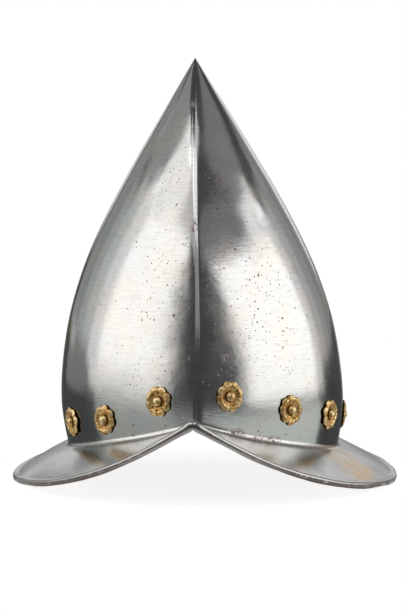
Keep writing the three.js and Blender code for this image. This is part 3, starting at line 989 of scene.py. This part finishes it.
# The camera, as fitted to the outlines in the photograph
CAMERA_TURN = math.radians(2.49)
CAMERA_DISTANCE = 5.186 * HEIGHT
CAMERA_HEIGHT = 0.8324 * HEIGHT
AIM = Vector((-0.0024 * HEIGHT, 0, 0.4093 * HEIGHT))
FOCAL_PIXELS = 2175.2
LONG_SIDE_PIXELS = 612
SENSOR = 36  # millimetres, along the picture's long side


def make_camera():
    lens = bpy.data.cameras.new("camera")
    lens.sensor_width = SENSOR
    lens.lens = FOCAL_PIXELS * SENSOR / LONG_SIDE_PIXELS
    camera = bpy.data.objects.new("camera", lens)
    bpy.context.scene.collection.objects.link(camera)
    camera.location = (CAMERA_DISTANCE * math.sin(CAMERA_TURN),
                       -CAMERA_DISTANCE * math.cos(CAMERA_TURN), CAMERA_HEIGHT)
    camera.rotation_euler = (AIM - camera.location).to_track_quat("-Z", "Y").to_euler()
    bpy.context.scene.camera = camera


# The studio: soft panels far off. turn is the direction of a panel's middle, from the face side
# towards +X, wide its spread, low and high its reach above the level, all in degrees
LIGHT_DISTANCE = 14 * HEIGHT
WARM = (1.0, 0.985, 0.965)
PLAIN = (1.0, 1.0, 1.0)
GREENISH = (0.95, 1.0, 0.96)
BLUISH = (0.93, 0.96, 1.0)
SKY = (0.9, 0.94, 1.0)
SIDE_PANELS = [
    {"name": "front", "turn": 0, "wide": 84, "low": 17, "high": 46, "glow": 0.32, "tint": BLUISH},
    {"name": "left", "turn": -82.5, "wide": 29, "low": 0, "high": 30, "glow": 1.6, "tint": WARM},
    {"name": "left_upper", "turn": -92, "wide": 22, "low": 30, "high": 47, "glow": 1.3, "tint": WARM},
    {"name": "left_mid", "turn": -63, "wide": 36, "low": 30, "high": 43, "glow": 0.6, "tint": WARM},
    {"name": "left_top", "turn": -66, "wide": 44, "low": 43, "high": 62, "glow": 1.1, "tint": PLAIN},
    {"name": "left_edge", "turn": -102, "wide": 10, "low": 0, "high": 31, "glow": 0.95, "tint": PLAIN},
    {"name": "left_rear", "turn": -112, "wide": 10, "low": 2, "high": 27, "glow": 0.6, "tint": GREENISH},
    {"name": "left_far", "turn": -122, "wide": 10, "low": 2, "high": 24, "glow": 0.42, "tint": GREENISH},
    {"name": "left_far_upper", "turn": -117, "wide": 24, "low": 26, "high": 46, "glow": 0.3, "tint": PLAIN},
    {"name": "left_back", "turn": -138, "wide": 22, "low": -1, "high": 30, "glow": 0.27, "tint": GREENISH},
    {"name": "left_foot", "turn": -86, "wide": 36, "low": -4, "high": 0, "glow": 1.0, "tint": PLAIN},
    {"name": "left_rear_low", "turn": -123, "wide": 34, "low": -6, "high": 2, "glow": 0.2, "tint": GREENISH},
    {"name": "left_low", "turn": -74, "wide": 50, "low": -20, "high": -4, "glow": 0.42, "tint": GREENISH},
    {"name": "right", "turn": 89, "wide": 38, "low": -5, "high": 28, "glow": 1.7, "tint": WARM},
    {"name": "right_upper", "turn": 105, "wide": 20, "low": 28, "high": 33, "glow": 1.2, "tint": WARM},
    {"name": "right_fade", "turn": 78, "wide": 34, "low": 28, "high": 38, "glow": 0.16, "tint": BLUISH},
    {"name": "right_top", "turn": 74, "wide": 48, "low": 51, "high": 68, "glow": 0.8, "tint": PLAIN},
    {"name": "right_edge", "turn": 112, "wide": 9, "low": -4, "high": 29, "glow": 0.85, "tint": WARM},
    {"name": "right_rear", "turn": 122, "wide": 11, "low": 0, "high": 27, "glow": 0.5, "tint": WARM},
    {"name": "right_rear_upper", "turn": 114, "wide": 36, "low": 33, "high": 46, "glow": 0.2, "tint": PLAIN},
    {"name": "right_far", "turn": 134, "wide": 13, "low": 0, "high": 26, "glow": 0.32, "tint": WARM},
    {"name": "right_back", "turn": 151, "wide": 20, "low": 0, "high": 24, "glow": 0.22, "tint": PLAIN},
    {"name": "right_low", "turn": 84, "wide": 56, "low": -20, "high": -7, "glow": 0.75, "tint": GREENISH},
    {"name": "back", "turn": 180, "wide": 52, "low": 5, "high": 27, "glow": 0.72, "tint": PLAIN},
    {"name": "back_low", "turn": 180, "wide": 38, "low": -9, "high": 5, "glow": 0.18, "tint": PLAIN},
]
TOP_PANEL = {"lift": 60, "wide": 66, "tall": 30, "glow": 1.25}
STUDIO_GREY = (0.074, 0.077, 0.081)
FLOOR_MARGIN = 0.06 * HEIGHT  # beyond the brim
FLOOR_GLOW = 0.86
FLOOR_SIDES = 96


def area_light(name, place, outward, width, tall, glow, tint):
    """A soft panel of even brightness, which the camera doesn't see."""
    data = bpy.data.lights.new(name, "AREA")
    data.shape = "RECTANGLE"
    data.size = width
    data.size_y = tall
    data.energy = glow * math.pi * width * tall
    data.color = tint
    light = bpy.data.objects.new(name, data)
    bpy.context.scene.collection.objects.link(light)
    light.location = place
    light.rotation_euler = outward.to_track_quat("Z", "Y").to_euler()
    light.visible_camera = False


def make_side_panel(row):
    """An upright panel that faces the helmet."""
    turn = math.radians(row["turn"])
    low, high = (LIGHT_DISTANCE * math.tan(math.radians(row[key])) for key in ("low", "high"))
    outward = Vector((math.sin(turn), -math.cos(turn), 0))
    place = outward * LIGHT_DISTANCE + Vector((0, 0, (low + high) / 2 + HEIGHT / 2))
    width = 2 * LIGHT_DISTANCE * math.tan(math.radians(row["wide"]) / 2)
    area_light(row["name"], place, outward, width, high - low, row["glow"], row["tint"])


def make_top_panel():
    lift = math.radians(TOP_PANEL["lift"])
    outward = Vector((0, -math.cos(lift), math.sin(lift)))
    place = outward * LIGHT_DISTANCE + Vector((0, 0, HEIGHT / 2))
    width, tall = (2 * LIGHT_DISTANCE * math.tan(math.radians(TOP_PANEL[key]) / 2)
                   for key in ("wide", "tall"))
    area_light("top", place, outward, width, tall, TOP_PANEL["glow"], SKY)


def make_world():
    """White to look at, and a dim grey room to the surfaces that reflect it."""
    world = bpy.data.worlds.new("studio")
    world.use_nodes = True
    nodes = world.node_tree.nodes
    links = world.node_tree.links
    room = nodes["Background"]
    room.inputs["Color"].default_value = colour(*STUDIO_GREY)
    paper = nodes.new("ShaderNodeBackground")
    paper.inputs["Color"].default_value = colour(1, 1, 1)
    path = nodes.new("ShaderNodeLightPath")
    mix = nodes.new("ShaderNodeMixShader")
    links.new(path.outputs["Is Camera Ray"], mix.inputs[0])
    links.new(room.outputs[0], mix.inputs[1])
    links.new(paper.outputs[0], mix.inputs[2])
    links.new(mix.outputs[0], nodes["World Output"].inputs["Surface"])
    bpy.context.scene.world = world
    bpy.context.scene.view_settings.view_transform = "Standard"


def make_floor():
    """A pale oval that the helmet stands on, a little larger than its brim."""
    turns = np.linspace(0, 2 * np.pi, FLOOR_SIDES, endpoint=False)
    rim = np.stack([np.cos(turns) * (HALF_WIDTH + FLOOR_MARGIN),
                    np.sin(turns) * (HALF_LENGTH + FLOOR_MARGIN), 0 * turns], -1)
    floor = mesh_object("floor", rim, [tuple(range(FLOOR_SIDES))], smooth=False)
    tree = Tree("pale_floor")
    tree.set("Base Color", colour(0.88, 0.88, 0.88))
    tree.set("Roughness", 0.9)
    tree.set("Emission Color", colour(1, 1, 1))
    tree.set("Emission Strength", FLOOR_GLOW)
    floor.data.materials.append(tree.material)


make_camera()
make_world()
make_floor()
for row in SIDE_PANELS:
    make_side_panel(row)
make_top_panel()

steel = make_steel()
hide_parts("skull_and_brim")
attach(steel, "root")

brass = brass_material()
rosettes = sorted(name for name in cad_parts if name.startswith("rosette"))
for number, name in enumerate(rosettes, start=1):
    seat = seat_of(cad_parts[name])
    for piece, stands_for in ((make_rosette(number, seat), name),
                              (make_rivet(number, seat), name.replace("rosette", "rivet"))):
        piece.data.materials.append(brass)
        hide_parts(stands_for)
        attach(piece, "root")
